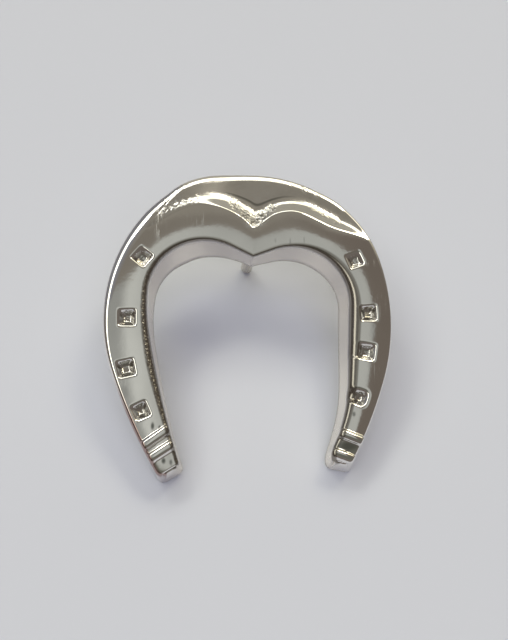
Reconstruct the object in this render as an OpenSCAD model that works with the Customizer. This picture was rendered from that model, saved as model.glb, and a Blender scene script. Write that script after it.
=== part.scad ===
// Horseshoe lapel pin: one silver casting with a soldered post, lying on the tip of
// its post and the ends of its two heels.
//
// The casting is modelled flat, in the plate's own frame: X to the right, Y to the toe,
// Z = 0 on the front face and the flat back at Z = -plate_t. The whole pin is then
// tipped onto its three feet, so that +Z is up, Z = 0 is what it rests on, and the
// origin is under the middle of the pin.

/* [Casting] */
// Thickness of the casting
plate_t = 2.7; // [2.2:0.1:3.2]
// Draft of the cast walls, in degrees
draft = 8; // [6:1:9]
// Rounding of the outer rim
rim_r = 0.6; // [0.5:0.05:0.65]

/* [Toe crescent] */
// Depth of the crescent under the face
step_depth = 0.65; // [0.55:0.05:0.8]
// Width of the hollowed slope that leads down to it
step_run = 1.45; // [1.3:0.05:1.55]
// Slope that is left where the hollow meets the crescent's floor, in degrees
crease_slope = 10; // [8:1:12]

/* [Nail holes] */
// Side of a nail hole at the face
nail_w = 1.5; // [1.3:0.05:1.6]
// Side of a nail hole at its floor
nail_floor_w = 0.6; // [0.4:0.05:0.8]
// Depth of a nail hole
nail_depth = 0.5; // [0.4:0.05:0.7]

/* [Heel bars] */
// Radius of the half-round bars across the heels
bar_r = 0.42; // [0.36:0.02:0.46]
// Height of a bar over the face
bar_rise = 0.2; // [0.14:0.02:0.26]

/* [Post] */
// Diameter of the post
post_d = 1.1; // [0.9:0.05:1.3]
// Length of the post behind the casting
post_len = 8; // [7:0.5:9]
// Height of the solder fillet round the post's root
solder_h = 0.3; // [0.2:0.05:0.4]

/* [Hidden] */
$fn = 96;

// Columns of the outline tables, where a row is an arc: its radius and sweep in degrees
RADIUS = 0;
SWEEP = 1;

// Outer outline at the rim, clockwise from the left heel over the toe to the right heel
OUTER_START = [-6.11, -14.84];
OUTER_HEADING = 125;
OUTER = [[45, 15], [14.5, 71], [7.75, 32], [23, 10], [11, 70], [18, 35], [40, 14]];

// Every second arc runs on under its two neighbours, this far in degrees and this deep
LAP = 1;
LAP_DEPTH = 0.03;

// How far the outline's arcs are filled inwards, which is over the width of the toe
BAND_REACH = 8.6;

// The opening at the face: two round lobes, as X, Y and radius
OPENING_LOBES = [[-4.04, 2.21, 4.8], [3.47, 1.95, 4.7]];

// Walls from the cusp of the V to the lobes: a point, the angle that it faces, length
CUSP_WALLS = [[[-0.9, 5.98], 64, 4.4], [[0.85, 5.88], 112, 4]];
CUSP_DEPTH = 5;

// Walls down the two branches: a point and the angle that it faces
BRANCH_WALLS = [
  [[-8.73, 1.2], 186], [[-8.35, -2.2], 193], [[-7.45, -6.5], 196.5],
  [[7.97, -1.5], -2], [[7.55, -6.8], -11], [[6.5, -9.8], -25],
];
BRANCH_WALL_RUN = 60;
BRANCH_WALL_DEPTH = 30;

// The box that the branch walls cut back: lowest corner and size in X and Y
BETWEEN_LOW = [-10, -20];
BETWEEN_SIZE = [20, 22];

// The raised band round the crescent: two lobes, as X, Y and radius
LOBES = [[-4.1, 5, 5.2], [3.2, 6.65, 3.3]];

// Its two straight edges out to the rim: start, heading and length
EDGES = [[[-13, 8.3], -6, 24], [[3.9, 9.75], -20, 10]];
BAND_DEPTH = 30;

// The box that the crescent is cut from: lowest corner and size in X and Y
TOE_LOW = [-14, 6];
TOE_SIZE = [28, 10];

// Heel ends: one corner on the face and the direction along the end
HEEL_ENDS = [[[-7.41, -12.9], 32.6], [[7.8, -11.75], 167]];
HEEL_CUT = 20;

// Side of the block that trims the back flat
BACK_CUT = 60;

// Nail holes: X, Y and the angle of the band
NAILS = [
  [-9.4, 5.35, -57], [-10.4, 0, 2], [-10.3, -4.25, 17], [-9.05, -7.6, 28],
  [8.55, 5.6, 50], [9.65, 0.85, 2], [9.35, -2.45, -10], [8.6, -6.3, -20],
];

// How far a nail hole's taper runs on over the face, and how wide its two cutters are
NAIL_PAST = 0.2;
NAIL_CUT = 5.5;

// Heel bars: the centres of the two ends of each
BARS = [
  [[-8.45, -10.3], [-7, -9.3]], [[-7.95, -11.45], [-6.65, -10.55]],
  [[8.35, -9.75], [7.1, -9.25]], [[7.75, -11.25], [6.4, -10.75]],
];

// Root of the post on the flat back
POST_ROOT = [0.1, 8.2];

// Flats that stand for the hollow of the slope down to the crescent
HOLLOW_FLATS = 3;

// Middle of the tipped pin, which goes over the origin
PIN_MIDDLE = [-0.425, 1.033];

past = 1;
post_r = post_d / 2;
back_spread = (plate_t - rim_r) * tan(draft);

// The three feet: the outer back corner of each heel and the round tip of the post
heel_feet = [for (e = HEEL_ENDS)
  let (side = sign(e[0].x), out = side < 0 ? e[1] - 90 : e[1] + 90)
  [
    e[0].x + plate_t * tan(draft) * cos(out) - back_spread * cos(e[1]),
    e[0].y + plate_t * tan(draft) * sin(out) - back_spread * sin(e[1]),
    -plate_t,
  ]];
tip_centre = [POST_ROOT.x, POST_ROOT.y, -plate_t - post_len + post_r];

function unit(v) = v / norm(v);

// Plane that touches both heel feet and the ball of radius r round c, as a unit normal
function rest_normal(a, b, c, r) =
  let (
    along = unit(b - a),
    rise = (c - a) - ((c - a) * along) * along,
    flat = unit(cross(along, cross(rise, along))),
    lean = asin(r / norm(rise)),
    tangent = flat * cos(lean) + unit(cross(flat, along)) * sin(lean)
  )
  unit(cross(along, tangent));

up = rest_normal(heel_feet[0], heel_feet[1], tip_centre, post_r);
tip_axis = cross(up, [0, 0, 1]);
tip_angle = acos(up.z);
rest_height = -(up * heel_feet[0]);

// Lays a table's arcs end to end, clockwise from p: [centre, radius, lowest angle, sweep]
function chain(p, heading, rows, i = 0) =
  i == len(rows) ? [] :
  let (
    r = rows[i][RADIUS],
    a0 = heading + 90,
    a1 = a0 - rows[i][SWEEP],
    c = p - r * [cos(a0), sin(a0)],
    q = c + r * [cos(a1), sin(a1)]
  )
  concat([[c, r, a1, a0 - a1]], chain(q, heading - rows[i][SWEEP], rows, i + 1));

// Section of the casting's outer side at radius r: drafted wall, rounded rim and face
module rim_section(r) {
  arc_x = r - rim_r / cos(draft);
  inner_x = max(r - BAND_REACH, 0);
  polygon([
    [inner_x, -plate_t - past],
    [r + back_spread + past * tan(draft), -plate_t - past],
    [arc_x + rim_r * cos(draft), rim_r * sin(draft) - rim_r],
    [arc_x, 0],
    [inner_x, 0],
  ]);
  translate([arc_x, -rim_r]) circle(rim_r);
}

// Section of the raised band with its edge at radius r: the face, then the hollowed slope
module band_section(r, inner_x) {
  edge_slope = 2 * atan(step_depth / step_run) - crease_slope;
  hollow_r = step_run / (sin(edge_slope) - sin(crease_slope));
  polygon([
    [inner_x, -plate_t],
    [r + step_run, -plate_t],
    for (i = [0:HOLLOW_FLATS])
      let (a = crease_slope + (edge_slope - crease_slope) * i / HOLLOW_FLATS)
      [r + hollow_r * (sin(edge_slope) - sin(a)), hollow_r * (cos(edge_slope) - cos(a))],
    [r, past],
    [inner_x, past],
  ]);
}

// Sweeps a section along a straight run of this length, centred at p, facing angle a
module along_line(p, a, length) {
  translate([p.x, p.y, 0]) rotate([90, 0, a]) linear_extrude(length, center = true) children();
}

// The casting before anything is cut from it, filled in from its outer outline
module outer_form() {
  arcs = chain(OUTER_START, OUTER_HEADING, OUTER);
  for (i = [0:len(arcs) - 1]) {
    arc = arcs[i];
    under = i % 2;
    translate([arc[0].x, arc[0].y, 0])
      rotate([0, 0, arc[2] - under * LAP])
        rotate_extrude(angle = arc[3] + 2 * under * LAP) rim_section(arc[1] - under * LAP_DEPTH);
  }
}

// A block on the opening's side of a drafted wall, which passes p and faces angle a
module wall_block(p, a, length, depth) {
  translate([p.x, p.y, 0])
    rotate([0, draft, a])
      translate([-depth, -length / 2, -depth])
        cube([depth, length, 2 * depth]);
}

// The space between the two branches, below the lobes
module between_branches() {
  intersection() {
    translate([BETWEEN_LOW.x, BETWEEN_LOW.y, -plate_t - 2 * past])
      cube([BETWEEN_SIZE.x, BETWEEN_SIZE.y, plate_t + 3 * past]);
    intersection_for (w = BRANCH_WALLS)
      wall_block(w[0], w[1], BRANCH_WALL_RUN, BRANCH_WALL_DEPTH);
  }
}

module opening() {
  for (l = OPENING_LOBES) {
    translate([l.x, l.y, -plate_t - 2 * past])
      cylinder(
        r1 = l.z - (plate_t + 2 * past) * tan(draft),
        r2 = l.z + past * tan(draft),
        h = plate_t + 3 * past
      );
  }
  for (w = CUSP_WALLS) wall_block(w[0], w[1], w[2], CUSP_DEPTH);
  between_branches();
}

// The raised band inside the crescent: two lobes, and the straight edges beside them
module raised_band() {
  for (l = LOBES) translate([l.x, l.y, 0]) rotate_extrude() band_section(l.z, 0);
  for (e = EDGES) {
    middle = e[0] + e[2] / 2 * [cos(e[1]), sin(e[1])];
    along_line(middle, e[1] + 90, e[2]) band_section(0, -BAND_DEPTH);
  }
}

// What is cut away over the crescent's floor, round the raised band
module toe_crescent() {
  difference() {
    translate([TOE_LOW.x, TOE_LOW.y, -step_depth])
      cube([TOE_SIZE.x, TOE_SIZE.y, step_depth + past]);
    raised_band();
  }
}

// A square, tapered nail hole
module nail_hole() {
  flare = (nail_w - nail_floor_w) / 2 / nail_depth;
  module side_view() {
    rotate([90, 0, 0]) linear_extrude(NAIL_CUT, center = true)
      polygon([
        [-nail_floor_w / 2, -nail_depth],
        [nail_floor_w / 2, -nail_depth],
        [nail_w / 2 + flare * NAIL_PAST, NAIL_PAST],
        [-nail_w / 2 - flare * NAIL_PAST, NAIL_PAST],
      ]);
  }
  intersection() {
    side_view();
    rotate([0, 0, 90]) side_view();
  }
}

// A half-round bar across a heel, sunk in the face
module heel_bar(ends) {
  run = ends[1] - ends[0];
  translate([ends[0].x, ends[0].y, bar_rise - bar_r])
    rotate([0, 90, atan2(run.y, run.x)]) cylinder(r = bar_r, h = norm(run));
}

// What is cut off past the drafted end of a heel
module past_heel(e) {
  side = sign(e[0].x);
  translate([e[0].x, e[0].y, 0])
    rotate([0, 0, side < 0 ? e[1] : e[1] - 180])
      rotate([-draft, 0, 0])
        translate([-HEEL_CUT / 2, -HEEL_CUT, -HEEL_CUT / 2])
          cube([HEEL_CUT, HEEL_CUT, HEEL_CUT]);
}

// What is cut off behind the flat back
module behind_back() {
  translate([-BACK_CUT / 2, -BACK_CUT / 2, -plate_t - 2 * past])
    cube([BACK_CUT, BACK_CUT, 2 * past]);
}

module casting() {
  difference() {
    outer_form();
    toe_crescent();
    opening();
    for (n = NAILS) translate([n.x, n.y, 0]) rotate([0, 0, n.z]) nail_hole();
    for (e = HEEL_ENDS) past_heel(e);
    behind_back();
  }
  for (b = BARS) heel_bar(b);
}

// The straight post with its round tip, and the solder at its root
module post() {
  translate(tip_centre) {
    cylinder(r = post_r, h = post_len - post_r + past);
    sphere(post_r);
  }
  translate([POST_ROOT.x, POST_ROOT.y, -plate_t - solder_h])
    cylinder(r1 = post_r, r2 = post_r + solder_h, h = solder_h);
}

module horseshoe_pin() {
  color("silver")
    translate([-PIN_MIDDLE.x, -PIN_MIDDLE.y, rest_height])
      rotate(a = tip_angle, v = tip_axis) {
        casting();
        post();
      }
}

horseshoe_pin();
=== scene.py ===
"""Looks of the horseshoe lapel pin: the silver casting, its post, the studio and the camera.

Everything is worked out in the plate's own frame, in millimetres, where u runs to the right,
v to the toe and w out of the front face, and is then laid on the CAD frame in metres.
"""

import json
import logging
import math
from collections.abc import Sequence
from dataclasses import dataclass, field
from enum import Enum

import bmesh
import bpy
import numpy as np
from mathutils import Matrix, Vector

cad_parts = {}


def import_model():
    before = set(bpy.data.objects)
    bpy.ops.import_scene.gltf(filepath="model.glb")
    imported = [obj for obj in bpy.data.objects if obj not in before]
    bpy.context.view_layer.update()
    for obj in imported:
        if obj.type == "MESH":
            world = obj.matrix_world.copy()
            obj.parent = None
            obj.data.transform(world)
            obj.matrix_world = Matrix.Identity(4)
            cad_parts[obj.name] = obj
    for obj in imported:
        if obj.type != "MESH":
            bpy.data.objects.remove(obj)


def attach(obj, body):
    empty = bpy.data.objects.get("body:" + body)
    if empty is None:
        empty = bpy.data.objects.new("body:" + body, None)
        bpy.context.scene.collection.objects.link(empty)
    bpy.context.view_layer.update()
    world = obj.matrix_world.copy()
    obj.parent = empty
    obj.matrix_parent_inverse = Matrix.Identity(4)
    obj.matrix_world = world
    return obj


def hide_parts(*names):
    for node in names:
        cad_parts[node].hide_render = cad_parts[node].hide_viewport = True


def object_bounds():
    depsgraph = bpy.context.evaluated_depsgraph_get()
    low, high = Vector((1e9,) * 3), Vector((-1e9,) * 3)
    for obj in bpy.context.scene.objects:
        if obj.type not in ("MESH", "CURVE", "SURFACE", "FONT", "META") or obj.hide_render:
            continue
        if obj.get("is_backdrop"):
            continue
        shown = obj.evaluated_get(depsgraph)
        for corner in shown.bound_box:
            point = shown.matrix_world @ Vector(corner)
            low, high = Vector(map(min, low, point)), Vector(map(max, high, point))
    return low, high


LOG = logging.getLogger("pin")
MM = 0.001
CAD_NODE = "horseshoe_pin"
BODY = "root"

# Stands for a line that misses a curve
MISSED = -2.0

Pair = tuple[float, float]
Triple = tuple[float, float, float]
Socket = bpy.types.NodeSocket


class Kind(Enum):
    """What the surface is like, by the name of the mesh attribute that the finish reads."""

    RECESS = "recess"
    SHOULDER = "shoulder"
    CRESCENT = "crescent"
    WALL = "wall"
    PITTED = "pitted"
    # Painted reddish reflection on the lower left rim and outer wall
    PAINTED_RED_REFLECTION = "painted_red_reflection"
    # Stained marks, with painted shade in the crescent's crease and painted dark reflections
    STAIN_AND_SHADE = "stain_and_shade"
    SCRATCHED = "scratched"


Kinds = dict[Kind, np.ndarray]
Masks = dict[Kind, Socket]


@dataclass(frozen=True)
class PlateFrame:
    """The plate's own frame as it lies on the floor: the rows of its turn, and its place in mm."""

    turn: tuple[Triple, Triple, Triple] = (
        (0.999607, 0.005098, 0.027579),
        (0.005098, 0.933922, -0.357442),
        (-0.027579, 0.357442, 0.933528),
    )
    place: Triple = (0.425, -1.033, 7.097)

    def world(self, points: np.ndarray) -> np.ndarray:
        """World places in metres of plate points in millimetres."""
        return (points @ np.array(self.turn).T + np.array(self.place)) * MM

    def direction(self, vector: Sequence[float]) -> Vector:
        """World direction of a plate direction."""
        return Vector(np.array(self.turn) @ np.array(vector))

    def matrix(self) -> Matrix:
        """Works out the transform from plate millimetres to world metres.

        Returns:
            The transform, as a matrix of four rows.
        """
        turn = np.array(self.turn) * MM
        rows = [[*turn[i], self.place[i] * MM] for i in range(3)]
        return Matrix([*rows, [0.0, 0.0, 0.0, 1.0]])


def unit_rows(rows: np.ndarray) -> np.ndarray:
    """Rows of an array, each at length one."""
    return rows / np.linalg.norm(rows, axis=-1, keepdims=True)


def smoothstep(low: float, high: float, x: np.ndarray) -> np.ndarray:
    """Smooth rise from 0 at low to 1 at high."""
    t = np.clip((x - low) / (high - low), 0.0, 1.0)
    return t * t * (3.0 - 2.0 * t)


def soft_over(x: np.ndarray, width: np.ndarray | float) -> np.ndarray:
    """What x is over nought, with the corner rounded over about this width."""
    return width * np.logaddexp(0.0, x / width)


class Curve:
    """An open curve in the plate's plane, found by the length run along it."""

    def __init__(self, points: np.ndarray) -> None:
        """Measures the length run to each point.

        Args:
            points: The curve's points, in order.
        """
        self.points = np.asarray(points, float)
        steps = np.linalg.norm(np.diff(self.points, axis=0), axis=1)
        self.run = np.concatenate([[0.0], np.cumsum(steps)])

    @property
    def length(self) -> float:
        """Length of the whole curve."""
        return float(self.run[-1])

    def at(self, run: np.ndarray) -> np.ndarray:
        """Points at these lengths along the curve."""
        return np.stack([np.interp(run, self.run, self.points[:, k]) for k in (0, 1)], axis=-1)

    def normal(self, run: np.ndarray, reach: float = 0.08) -> np.ndarray:
        """Works out the unit normals to the left of the curve's travel.

        Args:
            run: Lengths along the curve.
            reach: How far to each side the curve's heading is taken.

        Returns:
            One normal for each length.
        """
        ahead = self.at(np.minimum(run + reach, self.length))
        along = unit_rows(ahead - self.at(np.maximum(run - reach, 0.0)))
        return np.stack([-along[:, 1], along[:, 0]], axis=-1)

    def nearest(self, point: Sequence[float]) -> float:
        """Length along the curve to the place nearest a point."""
        return float(self.run[np.argmin(np.linalg.norm(self.points - np.array(point), axis=1))])

    def crossing(self, start: np.ndarray, end: np.ndarray, likely: float = 0.4) -> np.ndarray:
        """Finds where lines cross the curve, as a share of the way from start to end.

        Args:
            start: Start of each line.
            end: End of each line.
            likely: Where a line has several crossings, the one nearest this share counts.

        Returns:
            The crossing of each line, or MISSED where a line misses the curve.
        """
        out = np.full(len(start), MISSED)
        a, b = self.points[:-1], self.points[1:]
        edge = b - a
        for i, (p, d) in enumerate(zip(start, end - start)):
            across = d[0] * edge[:, 1] - d[1] * edge[:, 0]
            gap = a - p
            share = (gap[:, 0] * edge[:, 1] - gap[:, 1] * edge[:, 0]) / across
            place = (gap[:, 0] * d[1] - gap[:, 1] * d[0]) / across
            hits = share[(place >= 0.0) & (place <= 1.0) & (share > -1.0) & (share < 1.0)]
            if len(hits):
                out[i] = hits[np.argmin(np.abs(hits - likely))]
        return out


def track(start: Sequence[float], heading: float, rows: Sequence[Pair],
          step: float = 0.02) -> np.ndarray:
    """Lays arcs and lines end to end.

    Args:
        start: First point.
        heading: Heading at the first point, in degrees.
        rows: Radius and sweep in degrees of each arc, to the left when positive, or length and 0.
        step: The furthest that two points stand apart.

    Returns:
        The points along them.
    """
    points = [np.array([start], float)]
    for size, sweep in rows:
        run = size * math.radians(abs(sweep)) if sweep else size
        count = max(2, math.ceil(run / step))
        angles = np.radians(heading + sweep * (np.arange(count) + 0.5) / count)
        steps = np.stack([np.cos(angles), np.sin(angles)], axis=1) * run / count
        points.append(points[-1][-1] + np.cumsum(steps, axis=0))
        heading += sweep
    return np.concatenate(points)


def rounded(points: Sequence[Pair], rounds: int = 3, cut: float = 0.25) -> np.ndarray:
    """Cuts the corners of a polyline again and again until it reads as a curve.

    Args:
        points: Points of the polyline.
        rounds: How often the corners are cut.
        cut: Share of each side at which a cut begins.

    Returns:
        The points of the rounded line.
    """
    line = np.array(points, float)
    for _ in range(rounds):
        near = line[:-1] * (1.0 - cut) + line[1:] * cut
        far = line[:-1] * cut + line[1:] * (1.0 - cut)
        line = np.concatenate([line[:1], np.stack([near, far], axis=1).reshape(-1, 2), line[-1:]])
    return line


@dataclass(frozen=True)
class Nail:
    """A punched nail hole: a square mouth that narrows to a leaning floor."""

    u: float
    v: float
    angle: float
    side: float = 1.45
    floor: float = 0.6
    depth: float = 0.5
    soft: float = 0.075
    lean: Pair = (0.0, 0.0)
    power: float = 9.0

    def deep(self, points: np.ndarray) -> np.ndarray:
        """Works out how deep the hole lies.

        Args:
            points: Points of the face.

        Returns:
            The depth at each point.
        """
        turn = math.radians(self.angle)
        off_u, off_v = points[..., 0] - self.u, points[..., 1] - self.v
        x = off_u * math.cos(turn) + off_v * math.sin(turn)
        y = off_v * math.cos(turn) - off_u * math.sin(turn)
        ring = (np.abs(x) ** self.power + np.abs(y) ** self.power) ** (1.0 / self.power)
        taper = (self.side - self.floor) / 2.0
        fall = (self.side / 2.0 - ring) / taper
        hole = soft_over(fall, self.soft) - soft_over(fall - 1.0, self.soft)
        return self.depth * hole * (1.0 + self.lean[0] * x + self.lean[1] * y)


@dataclass(frozen=True)
class Bar:
    """A rounded bar across a heel, by the points where it meets the two edges."""

    start: Pair
    end: Pair
    rise: float = 0.28
    half: float = 0.40
    flatness: int = 3
    reach: float = 2.5

    def high(self, points: np.ndarray) -> np.ndarray:
        """Works out how high the bar stands.

        Args:
            points: Points of the face.

        Returns:
            The height at each point, 0 off the bar.
        """
        start, end = np.array(self.start), np.array(self.end)
        along = (end - start) / np.linalg.norm(end - start)
        off = (points - start) @ np.array([-along[1], along[0]])
        near = np.abs((points - (start + end) / 2) @ along) < self.reach
        lift = np.sqrt(np.clip(1.0 - np.abs(off / self.half) ** self.flatness, 0.0, 1.0))
        return self.rise * lift * near


@dataclass(frozen=True)
class Pit:
    """A round patch of small pits, strongest in its middle."""

    u: float
    v: float
    reach: float
    strength: float

    def shade(self, points: np.ndarray) -> np.ndarray:
        """Strength of the patch at these points."""
        off = (points[..., 0] - self.u) ** 2 + (points[..., 1] - self.v) ** 2
        return self.strength * np.exp(-off / self.reach**2)


@dataclass(frozen=True)
class Mark:
    """An even, oval mark with a soft edge."""

    u: float
    v: float
    wide: float
    high: float
    strength: float

    def shade(self, points: np.ndarray) -> np.ndarray:
        """Works out how strong the mark is.

        Args:
            points: Points of the surface.

        Returns:
            The strength at each point.
        """
        across = (points[..., 0] - self.u) / self.wide
        up = (points[..., 1] - self.v) / self.high
        off = across**2 + up**2
        return self.strength * np.exp(-off * off)


@dataclass(frozen=True)
class HeelEnd:
    """The flat end of a heel: its outer corner, the way its flat runs and the rounding over it."""

    u: float
    v: float
    angle: float
    rounding: float

    @property
    def way(self) -> np.ndarray:
        """Unit direction out of the end."""
        out = math.radians(self.angle - 90 if self.u < 0 else self.angle + 90)
        return np.array([math.cos(out), math.sin(out), 0.0])


@dataclass(frozen=True)
class Station:
    """Key pair of points that one cross-section joins, and the form of the section there.

    Attributes:
        outer: Point of the rim's outline.
        inner: Point of the opening's outline.
        wall_run: How far the inner wall stands out into the opening at its foot.
        shoulder: Width of the rounded inner shoulder.
        rim: Width of the rounded rim.
        bevel: Width of the soft bevel inside the rim.
        spread: Share of the draft that the outer wall keeps.
    """

    outer: Pair
    inner: Pair
    wall_run: float
    shoulder: float
    rim: float
    bevel: float = 0.0
    spread: float = 1.0


@dataclass(frozen=True)
class Band:
    """The edges of the band and the form of its section, with one row for each cross-section.

    Attributes:
        run: Length along the rim's outline.
        length: Length of the whole outline.
        front: Point of the rim's outline.
        mouth: Point of the opening's outline.
        line: Unit direction from the mouth to the front.
        out_gain: How far along the line a point lies that stands 1 off the rim's outline.
        in_gain: The same for the opening's outline.
        wall_run: How far the inner wall stands out into the opening at its foot.
        shoulder: Width of the rounded inner shoulder.
        rim: Width of the rounded rim.
        rim_deep: Height of the rounded rim.
        turn_from: Angle at which the rim's round leaves the wall.
        turn_to: Angle at which it meets the face.
        bevel: Width of the soft bevel inside the rim.
        spread: Share of the draft that the outer wall keeps.
        depth: Depth of the toe's crescent.
        eased: How far the crescent's slope has lost its sharp crest.
        fall: How far the face falls towards the heel's end.
    """

    run: np.ndarray
    length: float
    front: np.ndarray
    mouth: np.ndarray
    line: np.ndarray
    out_gain: np.ndarray
    in_gain: np.ndarray
    wall_run: np.ndarray
    shoulder: np.ndarray
    rim: np.ndarray
    rim_deep: np.ndarray
    turn_from: np.ndarray
    turn_to: np.ndarray
    bevel: np.ndarray
    spread: np.ndarray
    depth: np.ndarray
    eased: np.ndarray
    fall: np.ndarray


@dataclass(frozen=True)
class Face:
    """The face between the rim and the shoulder.

    Attributes:
        share: How far across the face each column stands, 0 at the rim and 1 at the opening.
        edge: Share at which the crest of the crescent's step stands, for each section.
        foot: Share at which its slope ends, for each section.
        width: Width of the face, for each section.
        holes: Depth of the nail holes at each point.
        points: The points of the face.
    """

    share: np.ndarray
    edge: np.ndarray
    foot: np.ndarray
    width: np.ndarray
    holes: np.ndarray
    points: np.ndarray


@dataclass
class Horseshoe:
    """The casting: a drafted band with a sunk toe crescent, nail holes and heel bars."""

    # The plate's section
    thickness: float = 2.7
    draft: float = 8.0
    rim: float = 0.6
    rim_height: Pair = (0.30, 0.35)
    bevel_slope: float = 0.29
    bevel_soft: float = 0.05
    bevel_start: float = 0.2
    no_bevel: float = -0.3
    dome: float = 0.018
    wave: float = 0.003
    wave_turns: Triple = (1.1, 0.4, 0.9)
    shoulder_height: float = 0.8
    wall_lean: float = 1.2
    back_round: float = 0.08
    least_cosine: float = 0.5

    # Outlines, as arcs and lines laid end to end
    outer_start: Pair = (-6.11, -14.84)
    outer_heading: float = 125.0
    outer_arcs: tuple[Pair, ...] = (
        (45, -15), (14.5, -71), (7.75, -32), (23, -10), (11, -70), (18, -35), (40, -14),
    )
    cusp: Pair = (-0.05, 5.6)
    left_heading: float = 154.0
    left_arcs: tuple[Pair, ...] = ((2.1, 0), (4.8, 114), (16.5, 13), (90, 7))
    right_heading: float = 22.0
    right_arcs: tuple[Pair, ...] = ((1.9, 0), (4.7, -115), (6.6, 0), (14, -28))
    outline_points: tuple[int, int] = (3400, 2400)

    # The form of the section along the band
    keys: tuple[Station, ...] = (
        Station((-7.41, -12.9), (-5.86, -11.92), 0.18, 0.24, 0.30, spread=0.35),
        Station((-8.34, -11.59), (-6.60, -10.41), 0.20, 0.26, 0.30, spread=0.25),
        Station((-8.84, -10.59), (-6.79, -9.08), 0.22, 0.35, 0.30, spread=0.15),
        Station((-11.3, -5.0), (-8.1, -3.6), 0.30, 0.64, 0.38, spread=0.3),
        Station((-12.41, 0.54), (-8.80, 0.55), 0.45, 0.45, 0.60),
        Station((-9.6, 9.3), (-6.44, 6.37), 0.95, 0.26, 1.10),
        Station((-5.2, 12.6), (-3.6, 6.95), 0.60, 0.18, 0.80, 0.30),
        Station((-2.3, 13.5), (-1.2, 6.1), 0.08, 0.14, 0.70, 0.40),
        Station((-0.3, 13.65), (-0.05, 5.6), 0.0, 0.13, 0.60, 0.42),
        Station((3.4, 13.15), (3.0, 6.6), 0.42, 0.12, 0.50, 0.34),
        Station((8.5, 9.6), (6.0, 6.1), 0.66, 0.42, 0.30),
        Station((11.62, 0.6), (8.1, 0.7), 0.60, 0.86, 0.25),
        Station((8.82, -9.94), (6.82, -9.16), 0.28, 0.44, 0.22),
        Station((8.04, -11.37), (5.90, -10.60), 0.12, 0.34, 0.24),
        Station((7.8, -11.75), (5.80, -11.31), 0.05, 0.30, 0.26),
    )
    key_points: int = 1401
    key_blur: int = 36
    pull: tuple[Triple, ...] = (
        (-9.4, 9.3, 0.0), (-7.4, 11.2, 0.07), (-6.0, 12.2, 0.02), (-3.2, 13.35, 0.0),
        (5.0, 12.4, 0.0), (7.4, 10.7, -0.14), (9.9, 7.9, 0.03), (11.0, 5.0, 0.0),
    )

    # The heels
    heel_ends: tuple[HeelEnd, HeelEnd] = (
        HeelEnd(-7.41, -12.9, 32.6, 0.22), HeelEnd(7.8, -11.75, 167.0, 0.42),
    )
    corners: tuple[Pair, Pair] = ((0.55, 0.30), (0.35, 0.85))
    corner_limit: float = 0.97
    heel_fall: Pair = (0.05, 0.13)
    fall_soft: float = 0.1
    end_draft: float = 1.6
    end_half: float = 1.1
    end_rings: int = 5
    foot_round: float = 0.07
    bars: tuple[Bar, ...] = (
        Bar((-8.84, -10.59), (-6.79, -9.08)), Bar((-8.34, -11.59), (-6.60, -10.41)),
        Bar((8.82, -9.94), (6.82, -9.16)), Bar((8.04, -11.37), (5.90, -10.60)),
    )

    # The toe's crescent
    step_depth: float = 0.65
    step_edge: tuple[Pair, ...] = (
        (-14.0, 9.2), (-10.2, 7.9), (-9.3, 7.75), (-8.3, 8.3), (-7.3, 8.95), (-6.2, 9.6),
        (-5.0, 10.03), (-3.97, 10.24), (-2.97, 10.09), (-2.01, 9.73), (-1.14, 9.25),
        (-0.34, 8.56), (0.0, 8.16), (0.36, 8.40), (0.85, 8.85), (1.79, 9.63), (3.12, 9.93),
        (4.02, 9.81), (4.87, 9.47), (5.68, 9.05), (6.51, 8.62), (7.47, 8.28), (8.59, 7.97),
        (9.4, 7.65), (13.0, 6.2),
    )
    crease: tuple[Pair, ...] = (
        (-14.0, 10.6), (-10.4, 9.2), (-9.4, 9.1), (-8.6, 9.4), (-7.68, 9.9), (-6.1, 10.9),
        (-4.35, 11.51), (-3.33, 11.70), (-2.28, 11.61), (-1.27, 11.37), (-0.32, 10.97),
        (0.15, 10.6), (0.56, 10.62), (1.55, 11.15), (2.6, 11.48), (3.67, 11.55), (4.78, 11.40),
        (6.2, 10.75), (7.2, 10.15), (8.1, 9.5), (9.0, 8.8), (10.0, 8.0), (14.0, 4.8),
    )
    step_fade: tuple[Triple, ...] = (
        (-9.8, 8.8, 0.0), (-8.4, 10.4, 0.13), (-6.8, 11.7, 0.22), (-1.0, 13.64, 1.0),
        (5.6, 12.1, 1.0), (7.6, 10.5, 0.92), (9.9, 7.9, 0.12),
    )
    eased: tuple[Triple, ...] = ((-6.4, 11.9, 1.0), (-3.2, 13.35, 0.0))
    crest_soft: Pair = (0.04, 0.10)
    hollow: Triple = (0.93, 0.30, 0.92)
    slope_points: int = 201
    no_step: Pair = (-1.6, -2.0)
    least_slope: float = 0.12
    edge_range: Pair = (0.07, 0.9)
    foot_range: Pair = (0.035, 0.85)

    nails: tuple[Nail, ...] = (
        Nail(-9.36, 5.33, -38, side=1.4, lean=(0.35, -0.2)),
        Nail(-10.4, 0.0, 2, lean=(0.25, 0.2)),
        Nail(-10.3, -4.25, 14, lean=(0.1, 0.3)),
        Nail(-9.0, -7.68, 26, side=1.35, floor=0.4, lean=(0.4, 0.25)),
        Nail(8.68, 5.55, 22, side=1.3, depth=0.34, soft=0.1, lean=(-0.1, -0.2)),
        Nail(9.65, 0.85, 2, side=1.35, lean=(0.4, 0.2)),
        Nail(9.35, -2.45, -10, lean=(0.1, -0.15)),
        Nail(8.6, -6.3, -20, side=1.3, floor=0.5, soft=0.16, lean=(0.3, 0.1), power=3.2),
    )
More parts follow.
